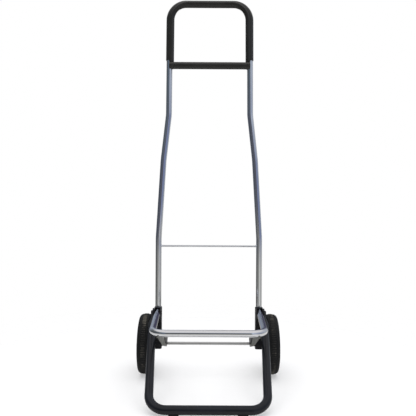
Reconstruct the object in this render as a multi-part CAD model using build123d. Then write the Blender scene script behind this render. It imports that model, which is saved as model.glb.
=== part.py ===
"""Light two-wheeled folding trolley frame: chromed frame, folding platform, folding front leg, two wheels.

Millimetres. +Z up, front of the trolley towards -Y, +X to its left-right axis. The origin is on the floor,
in the middle of the footprint. Depths are given as "forward of the axle" and turned into Y by `fwd`.
"""
from build123d import *
import math
import os

# ---- driving dimensions ---------------------------------------------------------------------------
FRAME_R = 8.0            # chromed 16 mm tube, frame and platform
LEG_R = 10.0             # black 20 mm tube
TUBE_WALL = 1.2
TYRE_R = 80.0
TYRE_WIDTH = 33.0
WHEEL_X = 170.5          # wheel centre plane
AXLE_R = 4.0
AXLE_Z = TYRE_R
AXLE_HALF = 189.5
FIT = 0.05               # radial running clearance

UPRIGHT_X = 137.8        # upright spacing, half, at the brackets
UPPER_X = 111.4          # the same above the shoulder bends
TOP_X = 109.4            # and at the top loop
TOP_Z = 1010.1
GRIP_R = 9.5
GRIP_END_Z = 855.0
RAIL_R = 7.4             # inner rail of the grip
RAIL_IN = 5.2            # how far the rail sits inside the tube's centre line
RAIL_FWD = 3.5
CROSSBAR_Z = 841.0
CROSSBAR_R = 9.6
BAG_ROD_Z = 347.0
BAG_ROD_R = 2.5

PIVOT_F = 28.0           # common pivot of platform and leg, forward of the axle
PIVOT_Z = 170.0
BOLT_R = 3.0

PLATFORM_F = 248.0       # centre of the front bar
PLATFORM_BACK_X = 137.4
PLATFORM_FRONT_X = 127.5
PLATFORM_CORNER_R = 35.0

FOOT_F = 283.5           # centre of the foot bar
FOOT_Z = 13.0
LEG_BACK_X = 150.2
LEG_FRONT_X = 130.2
LEG_CORNER_R = 40.0
FOOT_PAD_X = 75.4
LEG_EYE_IN = 147.0        # the flattened end lies between the cheek and the bolt head
LEG_EYE_OUT = 150.0

BRACKET_IN = 127.8       # inner and outer faces of the moulded brackets
BRACKET_OUT = 148.3
CHEEK_OUT = 146.8
JAW_IN = 130.3           # the slot between the cheeks
JAW_OUT = 144.6
BRACKET_TOP = 180.8

STAY_IN = 113.8
STAY_OUT = 116.3

AXLE_Y = (FOOT_F + LEG_R - TYRE_R) / 2


def fwd(distance):
    """Y of a point this far forward of the axle."""
    return AXLE_Y - distance


# ---- small helpers --------------------------------------------------------------------------------
def bent_path(points, radii):
    """Straight runs through the points, with an arc of the given radius at each inner point."""
    edges = []
    start = Vector(*points[0])
    for before, corner, after, radius in zip(points, points[1:], points[2:], radii):
        corner = Vector(*corner)
        into = (corner - Vector(*before)).normalized()
        out = (Vector(*after) - corner).normalized()
        half_turn = math.radians(into.get_angle(out)) / 2
        reach = radius * math.tan(half_turn)
        middle = corner + (out - into).normalized() * (radius / math.cos(half_turn) - radius)
        edges.append(Line(start, corner - into * reach))
        edges.append(ThreePointArc(corner - into * reach, middle, corner + out * reach))
        start = corner + out * reach
    edges.append(Line(start, Vector(*points[-1])))
    return Wire(edges)


def rod(path, radius):
    """A round bar along a path."""
    across = Plane(origin=path @ 0, z_dir=path % 0)
    return sweep(across * Circle(radius), path=path)


def pipe(path, radius, wall=TUBE_WALL):
    """A tube along a path, open at both ends."""
    return rod(path, radius) - rod(path, radius - wall)


def along_x(radius, low, high, forward, height):
    """A cylinder along X between two X values."""
    middle = Location((((low + high) / 2), fwd(forward), height), (0, 90, 0))
    return middle * Cylinder(radius, high - low)


def ring_x(outer, inner, low, high, forward, height):
    """A ring or sleeve along X."""
    return along_x(outer, low, high, forward, height) - along_x(inner, low - 1, high + 1, forward, height)


def block(x_low, x_high, f_low, f_high, z_low, z_high):
    """A box from X, forward and Z limits."""
    size = Box(x_high - x_low, f_high - f_low, z_high - z_low)
    return Pos((x_low + x_high) / 2, fwd((f_low + f_high) / 2), (z_low + z_high) / 2) * size


def side_plate(outline, x_low, x_high):
    """A plate between two X values, with its outline given as (forward, height) points."""
    face = make_face(Polyline(*[(x_low, fwd(f), z) for f, z in outline], close=True))
    return extrude(face, amount=x_high - x_low, dir=(1, 0, 0))


def both_sides(right):
    """The part and its mirror image, as a group."""
    return Compound(children=[right, mirror(right, about=Plane.YZ)])


def mirrored(right):
    return mirror(right, about=Plane.YZ)


# ---- frame ----------------------------------------------------------------------------------------
FRAME_SIDE = [
    (UPRIGHT_X, fwd(0), 70.0),
    (UPRIGHT_X, fwd(0), 369.0),
    (125.3, fwd(0), 583.0),
    (UPPER_X, fwd(0), 707.0),
    (TOP_X, fwd(0), TOP_Z),
]
FRAME_BENDS = [300.0, 300.0, 120.0, 45.0]


def frame_path():
    left = [(-x, y, z) for x, y, z in reversed(FRAME_SIDE)]
    return bent_path(FRAME_SIDE + left, FRAME_BENDS + FRAME_BENDS[::-1])


def upright_x_at(height):
    """Half spacing of the two uprights above the shoulder bends."""
    share = (height - 707.0) / (TOP_Z - 707.0)
    return UPPER_X + share * (TOP_X - UPPER_X)


def loop_path(offset, forward, low):
    """The top loop of the frame, moved inwards and forwards, down to a height."""
    side = [
        (upright_x_at(low) - offset, fwd(forward), low),
        (TOP_X - offset, fwd(forward), TOP_Z),
    ]
    return bent_path(side + [(-x, y, z) for x, y, z in reversed(side)], [45.0, 45.0])


def screw_axis(x, radius, f_low, f_high):
    """A round bar along Y at the height of the crossbar."""
    middle = Location((x, fwd((f_low + f_high) / 2), CROSSBAR_Z), (90, 0, 0))
    return middle * Cylinder(radius, f_high - f_low)


def make_frame_tube():
    tube = pipe(frame_path(), FRAME_R)
    tube -= along_x(AXLE_R + FIT, -200, 200, 0, AXLE_Z)
    for x in (-108.5, 108.5):
        tube -= screw_axis(x, 2.0, -12, 12)
    return tube


def make_handle_grip():
    sleeve = rod(loop_path(0, 0, GRIP_END_Z), GRIP_R)
    rail = rod(loop_path(RAIL_IN, RAIL_FWD, GRIP_END_Z - 4), RAIL_R)
    return sleeve + rail - rod(frame_path(), FRAME_R + FIT)


def make_handle_crossbar():
    bar = along_x(CROSSBAR_R, -111, 111, RAIL_FWD, CROSSBAR_Z)
    bar = fillet(bar.edges().filter_by(GeomType.CIRCLE), 3)
    bar -= rod(frame_path(), FRAME_R + FIT)
    for x in (-108.5, 108.5):
        bar -= screw_axis(x, 2.0, -12, 9)
    return bar


def make_crossbar_screw():
    shank = screw_axis(108.5, 1.9, -9, 8.5)
    head = screw_axis(108.5, 3.6, -10.2, -8.1)
    return shank + head


def make_bag_rod():
    return along_x(BAG_ROD_R, -UPRIGHT_X, UPRIGHT_X, 0, BAG_ROD_Z) - rod(frame_path(), FRAME_R)


# ---- brackets -------------------------------------------------------------------------------------
BRACKET_SIDE = [
    (0, BRACKET_TOP), (19, BRACKET_TOP), (28, 180.4), (37.5, 178), (41, 170), (38.5, 161.5),
    (31, 155), (24, 145), (10, 118), (0, 118),
]


def make_bracket():
    """Socket for the upright, two cheeks with a hood over the platform's tail, and the axle eye."""
    middle_x = (BRACKET_IN + BRACKET_OUT) / 2
    width = BRACKET_OUT - BRACKET_IN
    socket = Pos(middle_x, fwd(0), 67) * extrude(RectangleRounded(width, 21, 6), BRACKET_TOP - 67)
    socket = fillet(socket.edges().group_by(Axis.Z)[-1], 3)
    body = socket + side_plate(BRACKET_SIDE, BRACKET_IN, CHEEK_OUT)
    body += along_x(13.5, BRACKET_IN, BRACKET_OUT, 0, AXLE_Z)
    body -= block(JAW_IN, JAW_OUT, 11, 60, 153.6, 179.9)
    body -= block(JAW_IN, JAW_OUT, 18.4, 60, 153.6, 200)
    body -= Pos(UPRIGHT_X, fwd(0), 69.9 + 75) * Cylinder(FRAME_R + FIT, 150)
    body -= along_x(AXLE_R + FIT, 100, 200, 0, AXLE_Z)
    body -= along_x(BOLT_R + FIT, 100, 200, PIVOT_F, PIVOT_Z)
    return body


def make_pivot_bolt():
    """Shank through leg, bracket and platform, with a domed head outside."""
    shank = along_x(BOLT_R, 126.1, 151, PIVOT_F, PIVOT_Z)
    head = along_x(6.3, 150.3, 154.4, PIVOT_F, PIVOT_Z)
    head = fillet(head.edges().sort_by(Axis.X)[-1], 2.4)
    return shank + head


def make_pivot_nut():
    """A low push-on nut against the inner face of the bracket."""
    nut = ring_x(5.5, BOLT_R + 0.02, 126.55, 127.75, PIVOT_F, PIVOT_Z)
    return chamfer(nut.edges().filter_by(GeomType.CIRCLE).sort_by(Axis.X)[:2].sort_by(SortBy.LENGTH)[-1], 0.5)


# ---- axle -----------------------------------------------------------------------------------------
def make_axle():
    axle = along_x(AXLE_R, -AXLE_HALF, AXLE_HALF, 0, AXLE_Z)
    return chamfer(axle.edges().filter_by(GeomType.CIRCLE), 0.8)


def make_axle_washers():
    inner = ring_x(9.0, AXLE_R + 0.02, 148.45, 149.95, 0, AXLE_Z)
    outer = ring_x(8.0, AXLE_R + 0.02, 184.3, 185.5, 0, AXLE_Z)
    return [inner, outer, mirrored(inner), mirrored(outer)]


# ---- platform -------------------------------------------------------------------------------------
def platform_x(reach):
    """Half spacing of the platform arms at this distance from the pivot."""
    return PLATFORM_BACK_X + (PLATFORM_FRONT_X - PLATFORM_BACK_X) * reach / (PLATFORM_F - PIVOT_F)


def platform_point(reach):
    return (platform_x(reach), fwd(PIVOT_F + reach), PIVOT_Z)


NECK_END = 36.0


def platform_path():
    start, end = Vector(*platform_point(0)), Vector(*platform_point(PLATFORM_F - PIVOT_F))
    side = [tuple(start + (end - start).normalized() * NECK_END), tuple(end)]
    return bent_path(side + [(-x, y, z) for x, y, z in reversed(side)], [PLATFORM_CORNER_R] * 2)


def across_arm(reach):
    """The plane square to the right-hand platform arm, with its first direction near X."""
    start, end = Vector(*platform_point(0)), Vector(*platform_point(100))
    along = (end - start).normalized()
    return Plane(origin=start + along * reach, x_dir=Vector(0, 0, 1).cross(along) * -1, z_dir=along)


def platform_end(skin):
    """One pressed end of the platform tube, grown inwards by `skin`, from behind the pivot to the arm."""
    oval = Ellipse(6.2 - skin, 9.0 - skin)
    tail = extrude(across_arm(-12) * oval, 28)
    neck = loft([across_arm(16) * oval, across_arm(NECK_END) * Circle(FRAME_R - skin)])
    return tail + neck


def make_platform_tube():
    """U-shaped tube, its two ends pressed oval to fit the jaws of the brackets."""
    end = platform_end(0) - platform_end(TUBE_WALL)
    tube = pipe(platform_path(), FRAME_R) + end + mirrored(end)
    return tube - along_x(BOLT_R + FIT, -200, 200, PIVOT_F, PIVOT_Z)


def make_platform_plug():
    """A cap in the open rear end of the platform tube."""
    flange = extrude(across_arm(-13.2) * Ellipse(6.1, 8.9), 1.15)
    spigot = extrude(across_arm(-13.2) * Ellipse(4.9, 7.7), 7.0)
    return flange + spigot


STAY_SIDE = [
    (-7, 76), (-6.2, 72.8), (-3, 71.4), (4, 72.4), (100, 101), (226, 153.5), (251, 160.4), (252, 163),
    (240, 168), (226, 166.5), (16, 102), (8, 99), (3.0, 93), (3.0, 80), (0, 76.5),
]
HOOK_SIDE = [
    (-9, 88.8), (-8.5, 95), (-3, 99.5), (20, 107), (70, 124), (84, 127), (86, 122.5), (70, 108), (40, 90),
    (10, 80.5), (5.0, 79.4), (5.0, 84.6), (1.6, 85.6),
]


def make_stay():
    """Flat plate: welded under the front bar, resting with an open cradle against the axle."""
    plate = side_plate(STAY_SIDE, STAY_IN, STAY_OUT)
    plate -= along_x(AXLE_R + 0.45, 100, 130, 0, AXLE_Z)
    return plate - rod(platform_path(), FRAME_R)


def make_stay_hook():
    """Moulded hook on the inner face of a stay, which reaches over the axle and is open to the rear."""
    return side_plate(HOOK_SIDE, STAY_IN - 1.6, STAY_IN - 0.05)


# ---- leg ------------------------------------------------------------------------------------------
LEG_LENGTH = math.hypot(FOOT_F - PIVOT_F, PIVOT_Z - FOOT_Z)
LEG_FALL = math.atan2(PIVOT_Z - FOOT_Z, FOOT_F - PIVOT_F)


LEG_NECK_END = 44.0


def leg_point(reach):
    """A point on the right-hand leg arm's centre line, at a distance from the pivot."""
    x = LEG_BACK_X + (LEG_FRONT_X - LEG_BACK_X) * reach / LEG_LENGTH
    return Vector(x, fwd(PIVOT_F + reach * math.cos(LEG_FALL)), PIVOT_Z - reach * math.sin(LEG_FALL))


def leg_path():
    side = [tuple(leg_point(LEG_NECK_END)), tuple(leg_point(LEG_LENGTH))]
    return bent_path(side + [(-x, y, z) for x, y, z in reversed(side)], [LEG_CORNER_R] * 2)


def make_leg_end():
    """The pressed end: a flat eye round the pivot, opening into the round tube."""
    eye_x = (LEG_EYE_IN + LEG_EYE_OUT) / 2
    thickness = LEG_EYE_OUT - LEG_EYE_IN
    down_leg = Vector(0, -math.cos(LEG_FALL), -math.sin(LEG_FALL))
    pivot = Vector(eye_x, fwd(PIVOT_F), PIVOT_Z)
    eye = along_x(12, LEG_EYE_IN, LEG_EYE_OUT, PIVOT_F, PIVOT_Z)
    flat = extrude(Plane(origin=pivot, x_dir=(1, 0, 0), z_dir=down_leg) * Rectangle(thickness, 24), 18)
    neck_start = Plane(origin=pivot + down_leg * 15, x_dir=(1, 0, 0), z_dir=down_leg)
    path = leg_path()
    neck_end = Plane(origin=path @ 0, x_dir=Vector(1, 0, 0), z_dir=path % 0)
    neck = loft([neck_start * Ellipse(thickness / 2 - 0.05, 11.8), neck_end * Circle(LEG_R)])
    return eye + flat + neck


def make_leg_tube():
    end = make_leg_end()
    tube = pipe(leg_path(), LEG_R)
    tube += end
    tube += mirrored(end)
    return tube - along_x(BOLT_R + FIT, -200, 200, PIVOT_F, PIVOT_Z)


def make_foot_pad():
    """Rubber saddle under the foot bar, flat on the floor."""
    shell = along_x(LEG_R + 3, FOOT_PAD_X - 11, FOOT_PAD_X + 11, FOOT_F, FOOT_Z)
    shell &= block(0, 200, FOOT_F - 8.5, FOOT_F + 8.5, 0, FOOT_Z - 3)
    foot = block(FOOT_PAD_X - 11, FOOT_PAD_X + 11, FOOT_F - 6.5, FOOT_F + 6.5, 0, 5)
    return shell + foot - along_x(LEG_R, 0, 200, FOOT_F, FOOT_Z)


# ---- wheels, built round their own centre with the axle along X --------------------------------------
RIM_R = 62.8
SPOKES = 6


def turned(outline):
    """A body turned about the X axis from (x, radius) points."""
    face = make_face(Polyline(*[(x, 0, r) for x, r in outline], close=True))
    return revolve(face, Axis.X, 360)


def turned_smooth(outline):
    """The same, with one smooth curve through the points and a straight closing line."""
    curve = Spline(*[(x, 0, r) for x, r in outline])
    face = make_face(curve + Line(curve @ 1, curve @ 0))
    return revolve(face, Axis.X, 360)


def make_rim():
    ring = turned([
        (-13, 56.5), (-12, 55.5), (12, 55.5), (13, 56.5), (13, RIM_R), (-13, RIM_R),
    ])
    hub = turned([(-20.2, 7.05), (13.5, 7.05), (13.5, 15), (-20.2, 15)])
    web = turned([(-2, 14), (2, 14), (2, 57), (-2, 57)])
    window = Plane.YZ * (
        Pos(37, 0) * SlotArc(CenterArc((-37, 0), 37, -8, 16), 22)
    )
    rim = ring + web + hub
    for number in range(SPOKES):
        turn = Rot(X=360 / SPOKES * number)
        spoke = Pos(0, 0, 36) * Box(15, 4, 41)
        rim += turn * spoke
        opening = Rot(X=360 / SPOKES * (number + 0.5) - 90) * extrude(window, amount=5, both=True)
        rim -= opening
    return rim - turned([(-21, 0), (14, 0), (14, 7.05), (-21, 7.05)])


TYRE_SIDE = [
    (13.2, RIM_R + 0.1), (15.4, 65.6), (16.5, 70.2), (15.7, 74.6), (13.2, 77.4), (9.0, 79.2), (0.5, TYRE_R),
]


def make_tyre():
    """Solid rubber section, widest halfway up, with a broad crown."""
    return turned_smooth(TYRE_SIDE + [(-x, r) for x, r in reversed(TYRE_SIDE)])


def make_bush():
    return turned([(-20.2, AXLE_R + FIT), (13.5, AXLE_R + FIT), (13.5, 7.0), (-20.2, 7.0)])


def make_hub_cap():
    """Thin domed cup pressed over the outer end of the hub."""
    return turned([
        (9.8, 15.05), (9.8, 17.4), (17.5, 17.0), (21.0, 13.5), (22.5, 7.0), (22.6, 0), (21.0, 0),
        (20.8, 7.0), (19.4, 12.3), (16.4, 15.0), (13.6, 15.05),
    ])


def at_wheel(part, side):
    """Carry a wheel piece to the right (+1) or left (-1) end of the axle."""
    placed = Pos(WHEEL_X, fwd(0), AXLE_Z) * part
    return placed if side > 0 else mirrored(placed)


# ---- write one file per piece -----------------------------------------------------------------------
def export(name, shape):
    if isinstance(shape, list):
        shape = Compound(children=[solid for piece in shape for solid in piece.solids()])
    export_step(shape, f"parts/{name}.step")


def pair(part):
    return [part, mirrored(part)]


def main():
    os.makedirs("parts", exist_ok=True)
    export("frame_tube", make_frame_tube())
    export("handle_grip", make_handle_grip())
    export("handle_crossbar", make_handle_crossbar())
    export("crossbar_screws", pair(make_crossbar_screw()))
    export("bag_rod", make_bag_rod())
    bracket = make_bracket()
    export("bracket_right", bracket)
    export("bracket_left", mirrored(bracket))
    export("pivot_bolts", pair(make_pivot_bolt()))
    export("pivot_nuts", pair(make_pivot_nut()))
    export("axle", make_axle())
    export("axle_spacers", pair(ring_x(7.0, AXLE_R + 0.02, 116.8, 127.75, 0, AXLE_Z)))
    export("axle_washers", make_axle_washers())
    export("axle_clips", pair(ring_x(7.6, AXLE_R + 0.02, 185.8, 187.4, 0, AXLE_Z)))
    export("platform_tube", make_platform_tube())
    export("platform_plugs", pair(make_platform_plug()))
    stay = make_stay()
    export("stay_right", stay)
    export("stay_left", mirrored(stay))
    export("stay_hooks", pair(make_stay_hook()))
    export("leg_tube", make_leg_tube())
    export("foot_pads", pair(make_foot_pad()))
    pieces = {
        "rim": make_rim(), "tyre": make_tyre(), "bush": make_bush(), "hub_cap": make_hub_cap(),
    }
    for name, piece in pieces.items():
        export(f"{name}_right", at_wheel(piece, 1))
        export(f"{name}_left", at_wheel(piece, -1))


main()
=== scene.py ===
"""Looks of a folding hand truck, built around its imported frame. Metres, +Z up, front towards -Y."""

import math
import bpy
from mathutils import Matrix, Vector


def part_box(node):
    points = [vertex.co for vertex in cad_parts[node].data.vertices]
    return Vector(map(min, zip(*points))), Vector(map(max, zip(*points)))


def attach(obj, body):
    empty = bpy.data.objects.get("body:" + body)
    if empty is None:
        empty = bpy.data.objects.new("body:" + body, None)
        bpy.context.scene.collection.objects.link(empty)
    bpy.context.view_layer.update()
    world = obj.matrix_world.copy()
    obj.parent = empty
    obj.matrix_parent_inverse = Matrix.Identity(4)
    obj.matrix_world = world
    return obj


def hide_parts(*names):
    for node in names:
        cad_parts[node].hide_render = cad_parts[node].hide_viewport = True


bl_info = {
    "name": "Folding hand truck",
    "version": (1, 0, 0),
    "blender": (4, 5, 0),
    "location": "3D View > Sidebar > Hand truck",
    "description": "Chromed tubes, moulded grip, brackets, folding leg and ribbed wheels of a hand truck",
    "category": "Object",
}

import bpy
import numpy as np
from bpy.props import FloatProperty, FloatVectorProperty, IntProperty, PointerProperty

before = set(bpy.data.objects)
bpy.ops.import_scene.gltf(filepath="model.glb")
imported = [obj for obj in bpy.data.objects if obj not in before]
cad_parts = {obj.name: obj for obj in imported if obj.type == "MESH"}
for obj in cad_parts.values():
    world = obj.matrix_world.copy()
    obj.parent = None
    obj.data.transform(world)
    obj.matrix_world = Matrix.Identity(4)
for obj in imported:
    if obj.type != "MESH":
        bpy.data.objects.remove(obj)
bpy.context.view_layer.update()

MM = 0.001


def middle(node):
    """Centre of a CAD node's box."""
    low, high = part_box(node)
    return (low + high) / 2


AXLE_Y, AXLE_Z = middle("axle").y, middle("axle").z
PIVOT_Y, PIVOT_Z = middle("pivot_bolts").y, middle("pivot_bolts").z
WHEEL_X = middle("tyre_right").x
FOOT_Y = middle("foot_pads").y
FOOT_Z = 13 * MM
CROSSBAR = middle("handle_crossbar")
CROSSBAR_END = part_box("handle_crossbar")[1].x
ROD_Z = middle("bag_rod").z

# Centre line of the right upright, from its foot to the top corner, as (x, z) in millimetres, and its bends
SHOULDER, TOP_CORNER = (111.4, 707.0), (109.4, 1010.1)
UPRIGHT = [(137.8, 70.0), (137.8, 369.0), (125.3, 583.0), SHOULDER, TOP_CORNER]
TOP_BEND = 45.0
UPRIGHT_BENDS = [300.0, 300.0, 120.0, TOP_BEND]


# ---- shapes: every surface is a grid of points, with its columns closed round --------------------------


def unit(vectors):
    """Vectors divided by their own lengths."""
    return vectors / np.linalg.norm(vectors, axis=-1, keepdims=True)


def smooth(low, high, value):
    """0 below low, 1 above high, and 3t^2 - 2t^3 between them."""
    t = np.clip((value - low) / (high - low), 0, 1)
    return t * t * (3 - 2 * t)


def bent(corners, bends, run_step=0.02):
    """Points and directions along straight runs joined by arcs, in two or three dimensions.

    On a run: start + way * s. On an arc of radius r: start + r sin(t) way + r (1 - cos(t)) inward,
    where inward is the part of the next way square to this one, and t goes from 0 to the turn.
    """
    corners = np.asarray(corners, float)
    ways = unit(np.diff(corners, axis=0))
    points, heads, start = [], [], corners[0]
    for corner, way, onward, bend in zip(corners[1:], ways, ways[1:], bends):
        turn = math.acos(float(np.clip(way @ onward, -1, 1)))
        inward = unit(onward - way * (way @ onward))
        enter = corner - way * bend * math.tan(turn / 2)
        run = np.linspace(0, 1, 1 + math.ceil(np.linalg.norm(enter - start) / run_step), endpoint=False)
        points.append(start + (enter - start) * run[:, None])
        heads.append(np.broadcast_to(way, points[-1].shape))
        t = np.linspace(0, turn, 2 + math.ceil(math.degrees(turn) / 3), endpoint=False)[:, None]
        points.append(enter + bend * (np.sin(t) * way + (1 - np.cos(t)) * inward))
        heads.append(np.cos(t) * way + np.sin(t) * inward)
        start = corner + onward * bend * math.tan(turn / 2)
    run = np.linspace(0, 1, 2 + math.ceil(np.linalg.norm(corners[-1] - start) / run_step))[:, None]
    points.append(start + (corners[-1] - start) * run)
    heads.append(np.broadcast_to(ways[-1], points[-1].shape))
    return np.concatenate(points), np.concatenate(heads)


def distances(points):
    """Distance travelled at each point of a path."""
    return np.concatenate([[0], np.cumsum(np.linalg.norm(np.diff(points, axis=0), axis=1))])


def finer(path, extra):
    """The path with added points at these distances from either end, found by straight interpolation."""
    points, heads = path
    along = distances(points)
    wanted = np.unique(np.round(np.concatenate([along, extra, along[-1] - extra]), 7))
    wanted = wanted[np.concatenate([[True], np.diff(wanted) > 2e-6])]
    new_points = np.stack([np.interp(wanted, along, column) for column in points.T], -1)
    new_heads = unit(np.stack([np.interp(wanted, along, column) for column in heads.T], -1))
    return new_points, new_heads


def end_distance(points):
    """Distance of each point of a path from its nearer end."""
    along = distances(points)
    return np.minimum(along, along[-1] - along)


def ring(across, up, power=2.0, count=40):
    """Superellipse outline: (across sgn(cos a) |cos a|^(2/n), up sgn(sin a) |sin a|^(2/n)).

    across, up and the power n may each hold one value per row.
    """
    a = np.linspace(0, 2 * math.pi, count, endpoint=False)
    across, up, power = (np.atleast_1d(np.asarray(v, float))[:, None] for v in (across, up, power))
    x = across * np.sign(np.cos(a)) * np.abs(np.cos(a)) ** (2 / power)
    y = up * np.sign(np.sin(a)) * np.abs(np.sin(a)) ** (2 / power)
    return np.stack(np.broadcast_arrays(x, y), -1)


def carried(path, square, outline):
    """An outline carried along a flat path: path + side * outline.x + square * outline.y.

    square is the unit vector square to the path's plane, and side = square x direction.
    """
    points, heads = path
    square = np.asarray(square, float)
    side = np.cross(square, heads)
    return points[:, None] + side[:, None] * outline[..., :1] + square * outline[..., 1:]


def rod_with_round_ends(path, square, radius, edge, count=40):
    """A round bar whose end edges are rounded.

    At a distance d < edge from the end, r = radius - edge + sqrt(edge^2 - (edge - d)^2).
    """
    turn = np.linspace(0, math.pi / 2, 7)
    path = finer(path, edge * (1 - np.cos(turn)))
    inside = np.clip(edge - end_distance(path[0]), 0, edge)
    return carried(path, square, ring(*[radius - edge + np.sqrt(edge**2 - inside**2)] * 2, count=count))


def turned(outline, count=72):
    """An (x, radius) outline turned about X: (x, r cos a, r sin a)."""
    a = np.linspace(0, 2 * math.pi, count, endpoint=False)
    x, r = (np.asarray(outline, float)[:, k, None] for k in (0, 1))
    return np.stack(np.broadcast_arrays(x, r * np.cos(a), r * np.sin(a)), -1)


def rounded(corners, bends):
    """Points of a flat outline with its inner corners rounded."""
    return bent(corners, bends, run_step=1.0)[0]


def volume(points, triangles):
    """Signed volume: the sum of a . (b x c) / 6 over the triangles."""
    a, b, c = (points[triangles[:, k]] for k in range(3))
    return float(np.einsum("ij,ij->", a, np.cross(b, c)) / 6)


def quad_corners(rows, columns, loop):
    """Corner numbers of a grid's quads. Its columns close round, and its rows do if it loops."""
    row = np.arange(rows if loop else rows - 1)[:, None]
    column = np.arange(columns)[None]
    below, beside = (row + 1) % rows, (column + 1) % columns
    corners = (row * columns + column, below * columns + column,
               below * columns + beside, row * columns + beside)
    return np.stack(np.broadcast_arrays(*corners), -1).reshape(-1, 4)


def closed_faces(grid, loop):
    """A grid's points with its two poles, its quads, and the fans that close its ends, facing outward."""
    rows, columns = grid.shape[:2]
    points, quads = grid.reshape(-1, 3), quad_corners(rows, columns, loop)
    fans = np.empty((0, 3), int)
    if not loop:
        points = np.concatenate([points, grid[[0, -1]].mean(axis=1)])
        around = np.arange(columns)
        beside = (around + 1) % columns
        last = (rows - 1) * columns
        first_fan = np.stack([np.full(columns, rows * columns), around, beside], -1)
        last_fan = np.stack([np.full(columns, rows * columns + 1), last + beside, last + around], -1)
        fans = np.concatenate([first_fan, last_fan])
    split = np.concatenate([quads[:, [0, 1, 2]], quads[:, [0, 2, 3]], fans])
    if volume(points - points.mean(axis=0), split) < 0:
        quads, fans = quads[:, ::-1], fans[:, ::-1]
    return points, quads, fans


def skin(name, grids, sharp=32.0):
    """A mesh of closed surfaces, each a grid of points, or (grid, True) if its rows close round as well."""
    all_points, faces, start = [], [], 0
    for grid in grids:
        grid, loop = grid if isinstance(grid, tuple) else (grid, False)
        points, quads, fans = closed_faces(grid, loop)
        all_points.append(points)
        faces += (quads + start).tolist() + (fans + start).tolist()
        start += len(points)
    mesh = bpy.data.meshes.new(name)
    mesh.from_pydata(np.concatenate(all_points).tolist(), [], faces)
    mesh.shade_smooth()
    mesh.set_sharp_from_angle(angle=math.radians(sharp))
    mesh.update()
    return mesh


def flipped(grid):
    """The grid's mirror image in X."""
    return grid * np.array([-1.0, 1.0, 1.0])


def show(mesh, body, slot, material, *nodes):
    """Put a new piece on its body, in place of the CAD nodes that it stands for."""
    piece = bpy.data.objects.new(mesh.name, mesh)
    bpy.context.scene.collection.objects.link(piece)
    piece.data.materials.append(material)
    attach(piece, body)
    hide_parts(*nodes)
    return piece


def finish_nodes(material, *nodes):
    """Give CAD nodes this finish."""
    for node in nodes:
        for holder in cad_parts[node].material_slots:
            holder.material = material


# ---- finishes ---------------------------------------------------------------------------------------


class Wire:
    """A node's output. Arithmetic on wires and numbers adds Math nodes."""

    def __init__(self, paint, socket):
        self.paint, self.socket = paint, socket

    def _math(self, operation, first, second):
        return self.paint.add("ShaderNodeMath", {"operation": operation}, {0: first, 1: second})

    def __add__(self, other):
        return self._math("ADD", self, other)

    def __radd__(self, other):
        return self._math("ADD", other, self)

    def __sub__(self, other):
        return self._math("SUBTRACT", self, other)

    def __rsub__(self, other):
        return self._math("SUBTRACT", other, self)

    def __mul__(self, other):
        return self._math("MULTIPLY", self, other)

    def __rmul__(self, other):
        return self._math("MULTIPLY", other, self)

    def __truediv__(self, other):
        return self._math("DIVIDE", self, other)

    def __rtruediv__(self, other):
        return self._math("DIVIDE", other, self)


class Nodes:
    """A node tree being built, and the one method that adds a node."""

    def __init__(self, tree):
        self.tree = tree

    def add(self, kind, settings=None, sockets=None, out=0):
        """Add a node: its settings first (stops are a ramp's), then its sockets' values or links."""
        node = self.tree.nodes.new(kind)
        for key, value in (settings or {}).items():
            if key == "stops":
                ramp = node.color_ramp
                while len(ramp.elements) < len(value):
                    ramp.elements.new(0.5)
                for element, (place, colour) in zip(ramp.elements, value):
                    element.position, element.color = place, (*colour, 1)
            else:
                setattr(node, key, value)
        for key, value in (sockets or {}).items():
            if isinstance(value, Wire):
                self.tree.links.new(value.socket, node.inputs[key])
            else:
                node.inputs[key].default_value = value
        return Wire(self, node.outputs[out])

    def steps(self, value, low, high):
        """The value spread so that low becomes 0 and high becomes 1, with soft ends."""
        return self.add("ShaderNodeMapRange", {"interpolation_type": "SMOOTHSTEP"}, {
            "Value": value, "From Min": low, "From Max": high})

    def blend(self, mask, dark, light):
        """One colour where the mask is 0, the other where it is 1."""
        return self.add("ShaderNodeMix", {"data_type": "RGBA"}, {
            0: mask, 6: self._rgba(dark), 7: self._rgba(light)}, out=2)

    def absolute(self, value):
        """The value without its sign."""
        return self.add("ShaderNodeMath", {"operation": "ABSOLUTE"}, {0: value})

    def ramp(self, value, stops):
        """A colour looked up along these (place, colour) stops."""
        return self.add("ShaderNodeValToRGB", {"stops": stops}, {"Fac": value})

    def axes(self, vector):
        """The three parts of a vector."""
        parts = self.add("ShaderNodeSeparateXYZ", {}, {"Vector": vector}).socket.node
        return [Wire(self, parts.outputs[axis]) for axis in range(3)]

    @staticmethod
    def _rgba(colour):
        return colour if isinstance(colour, Wire) else (*colour[:3], 1)


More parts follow.
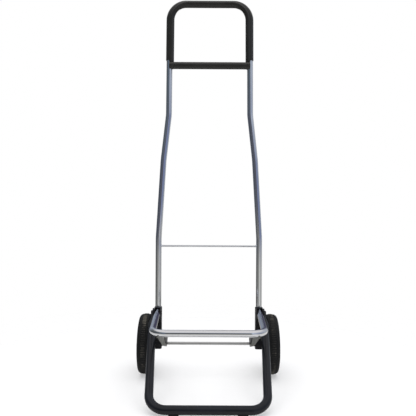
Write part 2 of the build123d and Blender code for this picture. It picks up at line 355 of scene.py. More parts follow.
class Paint(Nodes):
    """A material being made. Plain values go on the shader's own sockets."""

    def __init__(self, name, **plain):
        self.material = bpy.data.materials.new(name)
        self.material.use_nodes = True
        super().__init__(self.material.node_tree)
        self.shader = self.tree.nodes["Principled BSDF"]
        for socket, value in plain.items():
            self.shader.inputs[socket.replace("_", " ")].default_value = value
        self.at = self.add("ShaderNodeTexCoord", out="Object")

    def feed(self, socket, wire):
        """Link a wire to the shader."""
        self.tree.links.new(wire.socket, self.shader.inputs[socket])

    def placed(self, stretch=(1, 1, 1), centre=(0, 0, 0)):
        """Object coordinates about a centre, stretched."""
        shift = tuple(-s * c for s, c in zip(stretch, centre))
        return self.add("ShaderNodeMapping", {}, {"Vector": self.at, "Location": shift, "Scale": stretch})

    def noise(self, scale, detail=3.0, stretch=(1, 1, 1), roughness=0.55):
        """Cloudy noise, about 0.25 to 0.75."""
        return self.add("ShaderNodeTexNoise", {}, {
            "Vector": self.placed(stretch), "Scale": scale, "Detail": detail, "Roughness": roughness})

    def bump(self, height, strength, depth=0.0002):
        """Raise the surface by a height, at most depth metres."""
        self.feed("Normal", self.add("ShaderNodeBump", {}, {
            "Strength": strength, "Distance": depth, "Height": height}))

    def radius_about(self, y, z):
        """Distance from a line along X."""
        flat = self.add("ShaderNodeVectorMath", {"operation": "MULTIPLY"}, {
            0: self.placed(centre=(0, y, z)), 1: (0, 1, 1)})
        return self.add("ShaderNodeVectorMath", {"operation": "LENGTH"}, {0: flat}, out="Value")


def times(colour, amount):
    """A colour made darker or lighter."""
    return tuple(min(1.0, c * amount) for c in colour[:3])


def chrome_finish(colour):
    """Bright chrome: clean, with faint smudges, drawing streaks and polishing waves."""
    paint = Paint("chrome_tube", Metallic=1.0)
    smudge = paint.steps(paint.noise(16, 5), 0.42, 0.72)
    streak = paint.noise(9, 3, stretch=(40, 40, 1))
    paint.feed("Base Color", paint.blend(smudge * 0.6 + streak * 0.3, colour, times(colour, 0.88)))
    paint.feed("Roughness", 0.07 + smudge * 0.06 + streak * 0.03)
    paint.bump(paint.noise(45, 2), 0.03)
    return paint.material


def moulded_finish(name, colour, rough, grain, depth, wear=0.4, sheen=0.0, shine=0.32):
    """Moulded plastic: a fine spark-eroded grain, cloudy gloss and slightly greyed patches."""
    paint = Paint(name, IOR=1.46, Specular_IOR_Level=shine,
                  Sheen_Weight=sheen, Sheen_Roughness=0.45)
    cloud = paint.steps(paint.noise(22, 4), 0.38, 0.66)
    grit = paint.noise(grain, 3, roughness=0.7)
    scuff = paint.steps(paint.noise(70, 6, stretch=(1, 1, 0.4), roughness=0.7), 0.6, 0.75) * wear
    paint.feed("Base Color", paint.blend(cloud * 0.4 + grit * 0.3 + scuff, colour, times(colour, 2.0)))
    paint.feed("Roughness", rough + cloud * 0.06 + grit * 0.08 - scuff * 0.05)
    paint.bump(grit, depth, 0.00012)
    return paint.material


def coated_finish(name, colour):
    """Powder coat: orange peel under a soft gloss, with a few rubbed specks."""
    paint = Paint(name, IOR=1.46, Specular_IOR_Level=0.3, Coat_Roughness=0.2, Coat_IOR=1.4)
    peel = paint.noise(420, 2)
    cloud = paint.steps(paint.noise(18, 4), 0.4, 0.65)
    specks = paint.steps(paint.noise(520, 3, roughness=0.7), 0.69, 0.73)
    paint.feed("Base Color", paint.blend(cloud * 0.5 + specks * 0.5, colour, times(colour, 2.4)))
    paint.feed("Roughness", 0.3 + cloud * 0.08 + specks * 0.2)
    paint.feed("Coat Weight", 0.2 - cloud * 0.12)
    paint.bump(peel, 0.3, 0.00012)
    return paint.material


def zinc_finish(name, colour, rough=0.34):
    """Zinc plate: patches of grey crystals, rolling lines and dull spots."""
    paint = Paint(name, Metallic=0.9)
    cells = paint.add("ShaderNodeTexVoronoi", {"feature": "F1"}, {
        "Vector": paint.at, "Scale": 260.0}, out="Distance")
    lines = paint.noise(60, 3, stretch=(1, 1, 14))
    dull = paint.steps(paint.noise(45, 5), 0.45, 0.7)
    mask = cells * 0.5 + lines * 0.4 + dull * 0.3
    paint.feed("Base Color", paint.blend(mask, times(colour, 1.15), times(colour, 0.6)))
    paint.feed("Roughness", rough + dull * 0.16 + lines * 0.1)
    paint.bump(lines + cells * 0.4, 0.12, 0.0001)
    return paint.material


def steel_finish(name, colour):
    """Drawn bar: fine rings round the bar and a slightly oily gloss."""
    paint = Paint(name, Metallic=1.0)
    rings = paint.noise(30, 3, stretch=(60, 1, 1))
    cloud = paint.noise(35, 4)
    paint.feed("Base Color", paint.blend(rings * 0.6 + cloud * 0.4, times(colour, 1.1), times(colour, 0.7)))
    paint.feed("Roughness", 0.2 + rings * 0.16 + cloud * 0.06)
    paint.bump(rings, 0.12, 0.00008)
    return paint.material


def rubber_finish(name, colour, dust_and_glint=None, tread_radius=0.0):
    """Black rubber: matt and grainy, with pale patches on the rib tops of the middle band of a wheel's
    tread, partly dry dirt and partly a painted highlight on the ribs.
    """
    paint = Paint(name, IOR=1.46, Specular_IOR_Level=0.3)
    grit = paint.noise(1100, 3, roughness=0.7)
    cloud = paint.noise(40, 5)
    base = paint.blend(cloud * 0.8, colour, times(colour, 1.9))
    if dust_and_glint:
        # Pale patches on the rib tops of the middle band: partly dry dirt, partly a painted highlight
        # standing for the overhead light that the ribs catch.
        from_axle = paint.radius_about(AXLE_Y, AXLE_Z)
        rib_tops = paint.steps(from_axle, tread_radius - 1.1 * MM, tread_radius - 0.3 * MM)
        from_middle = paint.absolute(paint.absolute(paint.axes(paint.at)[0]) - WHEEL_X)
        band = 1 - paint.steps(from_middle, 4 * MM, 6.5 * MM)
        patch = paint.steps(paint.noise(34, 4), 0.47, 0.6)
        base = paint.blend(rib_tops * band * (0.06 + patch * 0.5), base, dust_and_glint)
    paint.feed("Base Color", base)
    paint.feed("Roughness", 0.5 + cloud * 0.22 + grit * 0.1)
    paint.bump(grit, 0.35, 0.00015)
    return paint.material


# ---- settings that a user may change ----------------------------------------------------------------


def length(name, description, millimetres):
    """A length setting in metres."""
    return FloatProperty(name=name, description=description, default=millimetres * MM,
                         min=0.0, unit="LENGTH")


def number(name, description, value, least):
    """A whole-number setting."""
    return IntProperty(name=name, description=description, default=value, min=least)


def colour(name, description, value):
    """A colour setting."""
    return FloatVectorProperty(name=name, description=description, default=value, min=0.0, max=1.0,
                               size=3, subtype="COLOR")


class HandTruckSizes(bpy.types.PropertyGroup):
    """Sizes of the pieces that are drawn anew."""

    tube_radius: length("Chromed tube", "Outer radius of the frame and platform tube", 8.0)
    rod_radius: length("Cross rod", "Radius of the thin rod between the uprights", 2.5)
    grip_radius: length("Grip sleeve", "Outer radius of the sleeve on the top loop", 9.5)
    rail_radius: length("Grip rail", "Radius of the rail along the inside of the sleeve", 7.4)
    crossbar_radius: length("Crossbar", "Radius of the bar under the grip", 9.6)
    leg_radius: length("Leg tube", "Outer radius of the folding leg's tube", 10.0)
    eye_radius: length("Leg eye", "Radius of the leg's pressed ends round the pivot", 12.0)
    tyre_radius: length("Tyre", "Outer radius of the tyre", 80.0)
    tyre_half_width: length("Tyre half width", "Half the width of the tyre", 16.5)
    tread_depth: length("Tread depth", "Depth of the grooves between the ribs", 1.0)
    tread_ribs: number("Tread ribs", "Number of ribs round a tyre", 84, 12)
    spokes: number("Spokes", "Number of spokes in a wheel", 6, 3)


class HandTruckColours(bpy.types.PropertyGroup):
    """Colours of the finishes."""

    chrome: colour("Chrome", "Colour of the plated tubes", (0.78, 0.80, 0.83))
    grip: colour("Grip", "Colour of the moulded grip and crossbar", (0.014, 0.0134, 0.0115))
    nylon: colour("Nylon", "Colour of the moulded brackets and plugs", (0.008, 0.008, 0.0095))
    coat: colour("Leg coat", "Colour of the leg's powder coat", (0.0058, 0.0066, 0.0092))
    bolt: colour("Bolt", "Colour of the blackened bolts", (0.010, 0.010, 0.012))
    zinc: colour("Zinc", "Colour of the zinc-plated plates and nuts", (0.40, 0.40, 0.36))
    # The braces' colour is the zinc colour halved: painted shade on the braces.
    plate: colour("Plate", "Colour of the dull plated braces", (0.20, 0.20, 0.175))
    steel: colour("Steel", "Colour of the drawn axle", (0.60, 0.60, 0.58))
    rubber: colour("Rubber", "Colour of the tyres and foot pads", (0.0055, 0.0058, 0.0058))
    # Pale tread colour: partly dry dirt, partly a painted highlight on the tyre ribs.
    dust_and_glint: colour("Dust_and_glint", "Colour of the dry dust on the tread", (0.17, 0.155, 0.125))
    rim: colour("Rim", "Colour of the wheels and hub caps", (0.011, 0.011, 0.012))
    bush: colour("Bush", "Colour of the hub bushes", (0.60, 0.58, 0.52))


# ---- frame ------------------------------------------------------------------------------------------


def both_ways(side, y):
    """An (x, z) side in millimetres and its mirror image, as one run of points in metres at this y."""
    right = [(x * MM, y, z * MM) for x, z in side]
    return right + [(-x, y, z) for x, y, z in reversed(right)]


def mirrored_run(side):
    """Points of a side and their mirror images in X, as one run."""
    return side + [point * (-1, 1, 1) for point in reversed(side)]


def weld(distance, depth, spread):
    """Extra radius of a weld: depth * exp(-distance / spread), where distance is from the other tube."""
    return depth * np.exp(-np.clip(distance, 0, None) / spread)


class HANDTRUCK_OT_frame(bpy.types.Operator):
    """Chromed frame tube with its bends, and the thin rod welded between the uprights."""

    bl_idname = "hand_truck.frame"
    bl_label = "Chromed frame"

    def execute(self, context):
        sizes, colours = context.scene.hand_truck_sizes, context.scene.hand_truck_colours
        chrome = chrome_finish(colours.chrome)
        bends = [b * MM for b in UPRIGHT_BENDS + UPRIGHT_BENDS[::-1]]
        path = bent(both_ways(UPRIGHT, AXLE_Y), bends)
        tube = carried(path, (0, 1, 0), ring(sizes.tube_radius, sizes.tube_radius, count=48))
        show(skin("chromed_frame", [tube]), "frame", "chrome_tube", chrome, "frame_tube")

        reach = UPRIGHT[0][0] * MM - sizes.tube_radius
        into_tube = 2 * MM
        x = np.linspace(0, 1, 41) ** 0.35 * (reach + into_tube)
        x = np.concatenate([-x[::-1], x[1:]])
        radius = sizes.rod_radius + weld(reach - np.abs(x), depth=2.2 * MM, spread=1.1 * MM)
        rod = turned(np.stack([x, radius], -1), 24) + np.array([0, AXLE_Y, ROD_Z])
        show(skin("cross_rod", [rod]), "frame", "chrome_tube", chrome, "bag_rod")
        return {"FINISHED"}


class HANDTRUCK_OT_grip(bpy.types.Operator):
    """Moulded grip: a sleeve round the top loop with a rail along its inside, and the crossbar."""

    bl_idname = "hand_truck.grip"
    bl_label = "Grip and crossbar"

    def execute(self, context):
        sizes, colours = context.scene.hand_truck_sizes, context.scene.hand_truck_colours
        satin = moulded_finish("grip_black", colours.grip, rough=0.27, grain=1300, depth=0.16,
                               sheen=0.12, shine=0.5)

        def loop(inward, forward, low):
            """The upper frame loop from this height, moved inward and forward, in millimetres."""
            share = (low - SHOULDER[1]) / (TOP_CORNER[1] - SHOULDER[1])
            x = SHOULDER[0] + share * (TOP_CORNER[0] - SHOULDER[0])
            side = [(x - inward, low), (TOP_CORNER[0] - inward, TOP_CORNER[1])]
            return bent(both_ways(side, AXLE_Y - forward * MM), [TOP_BEND * MM] * 2)

        sleeve_path = loop(inward=0, forward=0, low=855)
        rail_path = loop(inward=5.2, forward=3.5, low=851)
        sleeve = rod_with_round_ends(sleeve_path, (0, 1, 0), sizes.grip_radius, 1.1 * MM, 48)
        rail = rod_with_round_ends(rail_path, (0, 1, 0), sizes.rail_radius, 1.6 * MM, 40)
        show(skin("grip", [sleeve, rail]), "frame", "grip_black", satin, "handle_grip")

        end_round, end_flare = 3 * MM, 1 * MM
        x = np.concatenate([[0.0], CROSSBAR_END - 14 * MM * np.linspace(1, 0, 30) ** 1.5])
        flare = end_flare * smooth(CROSSBAR_END - 13 * MM, CROSSBAR_END - 7 * MM, x)
        past = np.clip(x - (CROSSBAR_END - end_round), 0, end_round)
        radius = sizes.crossbar_radius + flare - end_round + np.sqrt(end_round**2 - past**2)
        profile = np.stack([x, radius], -1)
        profile = np.concatenate([profile[::-1] * (-1, 1), profile[1:]])
        bar = turned(profile, 56) + np.array([0, CROSSBAR.y, CROSSBAR.z])
        show(skin("crossbar", [bar]), "frame", "grip_black", satin, "handle_crossbar")
        finish_nodes(zinc_finish("zinc_screws", colours.zinc), "crossbar_screws")
        return {"FINISHED"}


class HANDTRUCK_OT_brackets(bpy.types.Operator):
    """Moulded brackets at the feet of the uprights, with the pivot bolts and nuts."""

    bl_idname = "hand_truck.brackets"
    bl_label = "Brackets and pivots"

    def execute(self, context):
        colours = context.scene.hand_truck_colours
        nylon = moulded_finish("nylon_black", colours.nylon, 0.42, grain=800, depth=0.3)
        finish_nodes(nylon, "bracket_left", "bracket_right", "platform_plugs", "axle_spacers", "stay_hooks")
        finish_nodes(coated_finish("blackened_steel", colours.bolt), "pivot_bolts", "pivot_nuts")
        finish_nodes(zinc_finish("zinc_steel", colours.zinc), "axle_washers", "axle_clips")
        finish_nodes(steel_finish("axle_steel", colours.steel), "axle")
        return {"FINISHED"}


# ---- platform and leg -------------------------------------------------------------------------------


class HANDTRUCK_OT_platform(bpy.types.Operator):
    """Chromed U of the platform, with its ends pressed oval, and the plates that brace it."""

    bl_idname = "hand_truck.platform"
    bl_label = "Platform"

    def execute(self, context):
        sizes, colours = context.scene.hand_truck_sizes, context.scene.hand_truck_colours
        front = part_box("platform_tube")[0].y + sizes.tube_radius
        back = np.array([137.4 * MM, PIVOT_Y, PIVOT_Z])
        corner = np.array([127.5 * MM, front, PIVOT_Z])
        past_pivot, corner_bend = 12 * MM, 35 * MM
        side = [back - unit(corner - back) * past_pivot, corner]
        path = bent(mirrored_run(side), [corner_bend] * 2)
        path = finer(path, np.linspace(26, 50, 13) * MM)
        oval_across, oval_up = 6.2 * MM, 9.0 * MM
        round_part = smooth(28 * MM, 48 * MM, end_distance(path[0]))
        across = oval_across + (sizes.tube_radius - oval_across) * round_part
        up = oval_up + (sizes.tube_radius - oval_up) * round_part
        tube = carried(path, (0, 0, 1), ring(across, up, count=48))
        show(skin("platform_u", [tube]), "platform", "chrome_tube", bpy.data.materials["chrome_tube"],
             "platform_tube")
        # The braces take the halved zinc colour, which is painted shade.
        finish_nodes(zinc_finish("zinc_plate_shaded", colours.plate, 0.42), "stay_left", "stay_right")
        return {"FINISHED"}


class HANDTRUCK_OT_leg(bpy.types.Operator):
    """Folding leg: a powder-coated U with flat eyes at its ends, and its rubber foot pads.

    The section is a superellipse: flat and boxy round the pivot, and a circle once the neck has opened.
    """

    bl_idname = "hand_truck.leg"
    bl_label = "Leg and foot pads"

    def execute(self, context):
        sizes, colours = context.scene.hand_truck_sizes, context.scene.hand_truck_colours
        long = math.hypot(FOOT_Y - PIVOT_Y, FOOT_Z - PIVOT_Z)
        down = np.array([0, FOOT_Y - PIVOT_Y, FOOT_Z - PIVOT_Z]) / long
        pivot = np.array([0, PIVOT_Y, PIVOT_Z])

        def at(x, reach):
            """The point this far down the leg from the pivot, and this far out, in millimetres."""
            return pivot + np.array([x * MM, 0, 0]) + down * reach * MM

        eye_x, eye_end, half_plate = 148.5, 12.0, 1.5 * MM
        side = [at(eye_x, -eye_end), at(eye_x, 14), at(147.26, 44), at(130.2, long / MM)]
        neck_bend, corner_bend = 60 * MM, 40 * MM
        bends = [neck_bend] * 2 + [corner_bend] * 2 + [neck_bend] * 2
        path = bent(mirrored_run(side), bends)
        turn = np.linspace(0, math.pi / 2, 15)
        eye_rows, neck_rows = eye_end * MM * (1 - np.cos(turn)), np.linspace(24, 58, 18) * MM
        path = finer(path, np.concatenate([eye_rows, neck_rows]))
        reach = end_distance(path[0]) - eye_end * MM
        opening = smooth(13 * MM, 47 * MM, reach)
        eye = np.sqrt(np.clip(sizes.eye_radius**2 - np.clip(-reach, 0, None) ** 2, 1e-8, None))
        across = half_plate + (sizes.leg_radius - half_plate) * opening
        up = eye + (sizes.leg_radius - sizes.eye_radius) * opening
        power = 5.0 - 3.0 * smooth(6 * MM, 15 * MM, reach)
        tube = carried(path, np.cross((1, 0, 0), down), ring(across, up, power, count=56))
        coat = coated_finish("leg_paint", colours.coat)
        show(skin("folding_leg", [tube]), "leg", "leg_paint", coat, "leg_tube")
        finish_nodes(rubber_finish("rubber_black", colours.rubber), "foot_pads")
        return {"FINISHED"}


# ---- wheels -----------------------------------------------------------------------------------------


def tyre_grid(sizes):
    """Boxy tyre section carried round the axle, less its tread.

    Section: x = w sgn(cos v) |cos v|^n and r = r0 + h sgn(sin v) |sin v|^n, where n goes from 0.62 at the
    seat to 0.9 at the crown. The tread lowers r by depth * groove(u, x): ribs across the middle band, a
    channel on each side of it, then faint blocks out to the flank.
    """
    ribs, half = sizes.tread_ribs, sizes.tyre_half_width
    rows_a_rib, section_points, seat_radius = 8, 84, 62.9 * MM
    seat_power, crown_power = 0.62, 0.9
    bead_radius, bead_out, bead_spread = 68.5 * MM, 0.5 * MM, 0.7 * MM
    u = np.linspace(0, 2 * math.pi, ribs * rows_a_rib, endpoint=False)[:, None]
    v = np.linspace(0, 2 * math.pi, section_points, endpoint=False)[None]
    height = (sizes.tyre_radius - seat_radius) / 2
    power = seat_power + (crown_power - seat_power) * smooth(-0.2, 0.5, np.sin(v))

    def shaped(value):
        return np.sign(value) * np.abs(value) ** power

    x = half * shaped(np.cos(v)) + 0 * u
    r = seat_radius + height + height * shaped(np.sin(v)) + 0 * u
    outside = smooth(0.0, 0.25, np.sin(v))
    flank = np.abs(x) / half

    def blocks(phase):
        return 0.5 + 0.5 * np.tanh(4 * np.cos(phase))

    past_band = smooth(6.0 * MM, 6.8 * MM, np.abs(x))
    past_channel = smooth(7.6 * MM, 8.4 * MM, np.abs(x))
    middle_band = 1 - past_band
    channel = past_band * (1 - past_channel)
    shoulder = past_channel * (1 - smooth(0.93, 1.01, flank))
    slant = np.sign(x) * np.clip(np.abs(x) - 8 * MM, 0, None) / half * 1.6
    groove = (middle_band * blocks(ribs * u + np.abs(x) / half * 1.2) + 0.9 * channel
              + 0.35 * shoulder * blocks(ribs / 2 * u + slant))
    sink = sizes.tread_depth * groove * outside
    bead = bead_out * np.exp(-(((r - bead_radius) / bead_spread) ** 2)) * smooth(0.8, 0.9, flank)
    r = r - sink * (1 - smooth(0.85, 1.0, flank) * 0.4)
    x = x - np.sign(x) * (sink * smooth(0.8, 1.0, flank) * 0.5 + bead)
    return np.stack([x, r * np.cos(u), r * np.sin(u)], -1)


def web_sector(turn, pitch):
    """One sector of the web with its window, as a band round the window that loops front to back.

    Its edge and its window are angle = a sgn(cos t) |cos t|^n, radius = m + h sgn(sin t) |sin t|^n.
    The edge has a small power n, so it is nearly square. The window has a larger one and rounder corners.
    """
    t = np.linspace(0, 2 * math.pi, 72, endpoint=False)

    def curve(power, angle, low, high):
        c, s = (np.sign(f(t)) * np.abs(f(t)) ** power for f in (np.cos, np.sin))
        return turn + angle * c, (high + low) / 2 + (high - low) / 2 * s

    edge = curve(power=0.05, angle=pitch * 0.5, low=14.5, high=57)
    window = curve(power=0.55, angle=pitch * 0.385, low=25.0, high=49.0)
    back = [(-2, 0), (-2, 0.9), (-1.4, 0.98), (-0.5, 1.0)]
    rows = []
    for x, share in back + [(-x, share) for x, share in reversed(back)]:
        angle, radius = (a + (b - a) * share for a, b in zip(edge, window))
        rows.append(np.stack([np.full(t.shape, x), radius * np.cos(angle), radius * np.sin(angle)], -1))
    return np.array(rows) * MM, True


def spoke(turn):
    """A rib of rounded section from hub to barrel, thicker where it meets them.

    Half its thickness in millimetres is 1.9 + 1.6 exp(-(r - 15) / 3) + 1.3 exp(-(56 - r) / 3).
    """
    r = np.linspace(14, 56.4, 30)
    thick = 1.9 + 1.6 * np.exp(-(r - 15) / 3) + 1.3 * np.exp(-(56 - r) / 3)
    deep = 6.4 + 1.1 * smooth(30, 15, r) + 1.1 * smooth(44, 56, r)
    x, across = np.moveaxis(ring(deep, thick, power=6.0, count=28), -1, 0)
    y = r[:, None] * math.cos(turn) - across * math.sin(turn)
    z = r[:, None] * math.sin(turn) + across * math.cos(turn)
    return np.stack([x, y, z], -1) * MM, False


def rim_grids(spokes):
    """Barrel with rolled edges, stepped hub, web with windows, and ribs."""
    barrel = rounded([(0, 55.4), (-11.2, 55.4), (-11.8, 57.6), (-13, 58.2), (-13, 62.8),
                      (13, 62.8), (13, 58.2), (11.8, 57.6), (11.2, 55.4), (0.5, 55.4)],
                     [0.5, 0.5, 0.4, 0.7, 0.7, 0.4, 0.5, 0.5])
    hub = rounded([(0, 7.1), (-20.2, 7.1), (-20.2, 11.5), (-16, 12.6), (-15, 14.6),
                   (12, 14.9), (13.5, 14.9), (13.5, 7.1), (1, 7.1)],
                  [0.3, 0.8, 0.5, 0.8, 0.2, 0.5, 0.3])
    pitch = 2 * math.pi / spokes
    grids = [(turned(barrel * MM, 120), True), (turned(hub * MM, 60), True)]
    grids += [web_sector(pitch * (n + 0.5), pitch) for n in range(spokes)]
    return grids + [spoke(pitch * n) for n in range(spokes)]


def cap_grid():
    """Thin domed cap with a stepped edge and a shallow ring in its top."""
    profile = rounded([(9.8, 15.1), (9.8, 17.4), (12.2, 17.4), (12.6, 16.6), (17.2, 16.4), (20.8, 13.4),
                       (21.6, 10.2), (21.2, 9.6), (21.3, 8.8), (22.2, 8.2), (22.6, 3.0), (22.6, 0.4)],
                      [0.3, 0.5, 0.2, 1.4, 1.4, 0.3, 0.25, 0.25, 0.5, 2.5])
    return turned(profile * MM), False


class HANDTRUCK_OT_wheels(bpy.types.Operator):
    """Wheels: ribbed tyres, spoked rims, hub caps and bushes."""

    bl_idname = "hand_truck.wheels"
    bl_label = "Wheels"

    def execute(self, context):
        sizes, colours = context.scene.hand_truck_sizes, context.scene.hand_truck_colours
        tyre_rubber = rubber_finish("tyre_rubber", colours.rubber, colours.dust_and_glint, sizes.tyre_radius)
        rim_black = moulded_finish("rim_plastic", colours.rim, 0.3, grain=700, depth=0.15)
        cap_black = moulded_finish("cap_plastic", colours.rim, 0.24, grain=700, depth=0.1)
        pieces = {
            "tyre": ([(tyre_grid(sizes), True)], "tyre_rubber", tyre_rubber),
            "rim": (rim_grids(sizes.spokes), "rim_plastic", rim_black),
            "hub_cap": ([cap_grid()], "cap_plastic", cap_black),
        }
        for side, sign in (("left", -1), ("right", 1)):
            centre = np.array([sign * WHEEL_X, AXLE_Y, AXLE_Z])
            for piece, (shapes, slot, finish) in pieces.items():
                placed = [((grid if sign > 0 else flipped(grid)) + centre, loop) for grid, loop in shapes]
                mesh = skin(f"{piece}_{side}_shown", placed)
                show(mesh, f"wheel_{side}", slot, finish, f"{piece}_{side}")
        bush_nylon = moulded_finish("bush_nylon", colours.bush, 0.4, grain=900, depth=0.28, wear=0.0)
        finish_nodes(bush_nylon, "bush_left", "bush_right")
        return {"FINISHED"}


# ---- stage ------------------------------------------------------------------------------------------

# Colours round the room by compass direction: 0 and 1 behind the truck, 0.25 left, 0.5 front, 0.75 right
HIGH_WALLS = [
    (0.0, (0.22, 0.24, 0.29)), (0.05, (0.40, 0.44, 0.52)), (0.164, (0.15, 0.16, 0.17)),
    (0.25, (0.10, 0.11, 0.115)), (0.314, (0.10, 0.115, 0.125)), (0.40, (0.11, 0.15, 0.20)),
    (0.45, (0.16, 0.21, 0.27)), (0.50, (0.42, 0.49, 0.58)), (0.542, (0.62, 0.71, 0.84)),
    (0.60, (0.50, 0.54, 0.63)), (0.656, (0.44, 0.48, 0.56)), (0.794, (0.50, 0.52, 0.58)),
    (0.90, (0.44, 0.47, 0.52)), (0.96, (0.07, 0.07, 0.11)),
]
LOW_WALLS = [
    (0.0, (0.16, 0.18, 0.24)), (0.05, (0.30, 0.34, 0.42)), (0.19, (0.07, 0.075, 0.085)),
    (0.30, (0.07, 0.08, 0.10)), (0.40, (0.10, 0.105, 0.135)), (0.47, (0.13, 0.14, 0.20)),
    (0.55, (0.24, 0.28, 0.44)), (0.62, (0.19, 0.22, 0.36)), (0.70, (0.20, 0.24, 0.38)),
    (0.78, (0.34, 0.38, 0.46)), (0.90, (0.50, 0.52, 0.56)), (0.96, (0.06, 0.06, 0.10)),
]
FAR_FLOOR = [
    (0.0, (0.20, 0.20, 0.20)), (0.05, (0.28, 0.28, 0.28)), (0.12, (0.15, 0.15, 0.14)),
    (0.25, (0.10, 0.10, 0.095)), (0.33, (0.18, 0.18, 0.17)), (0.40, (0.36, 0.355, 0.33)),
    (0.46, (0.30, 0.30, 0.28)), (0.52, (0.42, 0.42, 0.39)), (0.56, (0.78, 0.78, 0.75)),
    (0.60, (0.80, 0.79, 0.76)), (0.65, (0.34, 0.34, 0.34)), (0.74, (0.46, 0.45, 0.43)),
    (0.84, (0.60, 0.59, 0.57)), (0.96, (0.20, 0.20, 0.20)),
]
NEAR_FLOOR, CEILING = (0.30, 0.295, 0.28), (0.80, 0.78, 0.79)
DARK_FRONT, BACKDROP = (0.085, 0.08, 0.08), (1.0, 1.0, 1.0)

# Camera: in front of the truck and level, turned a little about its line of sight
SENSOR, LENS = 36.0, 36.0 * 492 / 416
CAMERA_PLACE, CAMERA_ROLL = (-0.0028, AXLE_Y - 1.35, 0.4515), -0.29

# Lamp: a wide disc overhead, aimed at a point above the foot of the truck
LAMP_PLACE, LAMP_AIM = (0.0, -0.2, 2.4), (0.0, 0.0, 0.3)
LAMP_SIZE, LAMP_POWER = 3.2, 62.0

FLOOR_RINGS = [0.001, 0.4, 0.8, 1.2, 1.6, 2.0, 2.4]
FLOOR_DARK, FLOOR_LIGHT, FLOOR_ALPHA = (0.84, 0.84, 0.835), (0.90, 0.90, 0.90), 0.55


def room_light():
    """World light: a white backdrop for the eye, and for the metal a dim room with a window to the right.

    compass = atan2(x, -y) / 2 pi + 0.5. High walls, low walls and the far floor are ramps over it, blended
    by height with the near floor and a pale ceiling. A dark upright patch stands straight in front.
    """
    world = bpy.context.scene.world or bpy.data.worlds.new("studio")
    bpy.context.scene.world = world
    world.use_nodes = True
    world.node_tree.nodes.clear()
    room = Nodes(world.node_tree)
    x, y, z = room.axes(room.add("ShaderNodeTexCoord", out="Generated"))
    turn = room.add("ShaderNodeMath", {"operation": "ARCTAN2"}, {0: x, 1: y * -1.0})
    compass = turn / (2 * math.pi) + 0.5
    low, high, floor = (room.ramp(compass, stops) for stops in (LOW_WALLS, HIGH_WALLS, FAR_FLOOR))
    seen = room.blend(room.steps(z, 0.07, 0.3), low, high)
    ahead = 1 - room.steps(room.absolute(compass - 0.5), 0.02, 0.05)
    seen = room.blend(ahead * (1 - room.steps(z, 0.35, 0.6)), seen, DARK_FRONT)
    depth = z * -1.0
    seen = room.blend(room.steps(depth, 0.02, 0.13), seen, floor)
    seen = room.blend(room.steps(depth, 0.3, 0.6), seen, NEAR_FLOOR)
    seen = room.blend(room.steps(z, 0.5, 0.8), seen, CEILING)
    seen = room.blend(room.add("ShaderNodeLightPath", out="Is Camera Ray"), seen, BACKDROP)
    background = room.add("ShaderNodeBackground", {}, {"Color": seen, "Strength": 1.0})
    output = room.tree.nodes.new("ShaderNodeOutputWorld")
    room.tree.links.new(background.socket, output.inputs["Surface"])


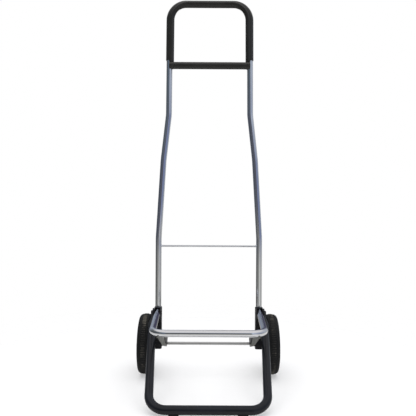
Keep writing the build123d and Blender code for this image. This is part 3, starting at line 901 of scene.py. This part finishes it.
class HANDTRUCK_OT_stage(bpy.types.Operator):
    """Camera, room light, overhead lamp and a plain pale floor that fades into the backdrop."""

    bl_idname = "hand_truck.stage"
    bl_label = "Stage"

    def execute(self, context):
        scene = context.scene
        scene.view_settings.view_transform = "Standard"
        camera = bpy.data.objects.new("camera", bpy.data.cameras.new("camera"))
        camera.data.sensor_width, camera.data.lens = SENSOR, LENS
        camera.location = CAMERA_PLACE
        camera.rotation_euler = (math.radians(90), math.radians(CAMERA_ROLL), 0)
        scene.collection.objects.link(camera)
        scene.camera = camera
        room_light()
        lamp = bpy.data.objects.new("overhead", bpy.data.lights.new("overhead", "AREA"))
        lamp.data.shape, lamp.data.size, lamp.data.energy = "DISK", LAMP_SIZE, LAMP_POWER
        lamp.location = LAMP_PLACE
        _, ahead, up = np.subtract(LAMP_AIM, LAMP_PLACE)
        lamp.rotation_euler = (math.atan2(ahead, -up), 0, 0)
        lamp.visible_glossy = False
        scene.collection.objects.link(lamp)

        disc = turned([(0, radius) for radius in FLOOR_RINGS], 64)[..., [1, 2, 0]]
        quads = quad_corners(*disc.shape[:2], loop=False)
        mesh = bpy.data.meshes.new("floor")
        mesh.from_pydata(disc.reshape(-1, 3).tolist(), [], quads.tolist())
        floor = bpy.data.objects.new("floor", mesh)
        paint = Paint("floor", Roughness=0.75)
        out = paint.add("ShaderNodeVectorMath", {"operation": "LENGTH"}, {0: paint.at}, out="Value")
        paint.feed("Alpha", (1 - paint.steps(out, 0.4, 1.1)) * FLOOR_ALPHA)
        paint.feed("Base Color", paint.blend(paint.noise(5, 4), FLOOR_DARK, FLOOR_LIGHT))
        mesh.materials.append(paint.material)
        scene.collection.objects.link(floor)
        return {"FINISHED"}


class HANDTRUCK_PT_panel(bpy.types.Panel):
    """Lists the hand truck's pieces in the sidebar."""

    bl_idname = "HANDTRUCK_PT_panel"
    bl_label = "Hand truck"
    bl_space_type = "VIEW_3D"
    bl_region_type = "UI"
    bl_category = "Hand truck"

    def draw(self, context):
        for operator in OPERATORS:
            self.layout.operator(operator.bl_idname)
        for group in (context.scene.hand_truck_sizes, context.scene.hand_truck_colours):
            box = self.layout.box()
            for name in group.__annotations__:
                box.prop(group, name)


OPERATORS = (HANDTRUCK_OT_stage, HANDTRUCK_OT_frame, HANDTRUCK_OT_grip, HANDTRUCK_OT_brackets,
             HANDTRUCK_OT_platform, HANDTRUCK_OT_leg, HANDTRUCK_OT_wheels)
CLASSES = (HandTruckSizes, HandTruckColours, *OPERATORS, HANDTRUCK_PT_panel)


def register():
    """Register the classes and hang the settings on the scene."""
    for kind in CLASSES:
        bpy.utils.register_class(kind)
    bpy.types.Scene.hand_truck_sizes = PointerProperty(type=HandTruckSizes)
    bpy.types.Scene.hand_truck_colours = PointerProperty(type=HandTruckColours)


def unregister():
    """Take the settings and the classes away again."""
    del bpy.types.Scene.hand_truck_colours
    del bpy.types.Scene.hand_truck_sizes
    for kind in reversed(CLASSES):
        bpy.utils.unregister_class(kind)


def main():
    """Build everything."""
    register()
    bpy.ops.hand_truck.stage()
    bpy.ops.hand_truck.frame()
    bpy.ops.hand_truck.grip()
    bpy.ops.hand_truck.brackets()
    bpy.ops.hand_truck.platform()
    bpy.ops.hand_truck.leg()
    bpy.ops.hand_truck.wheels()


if __name__ == "__main__":
    main()
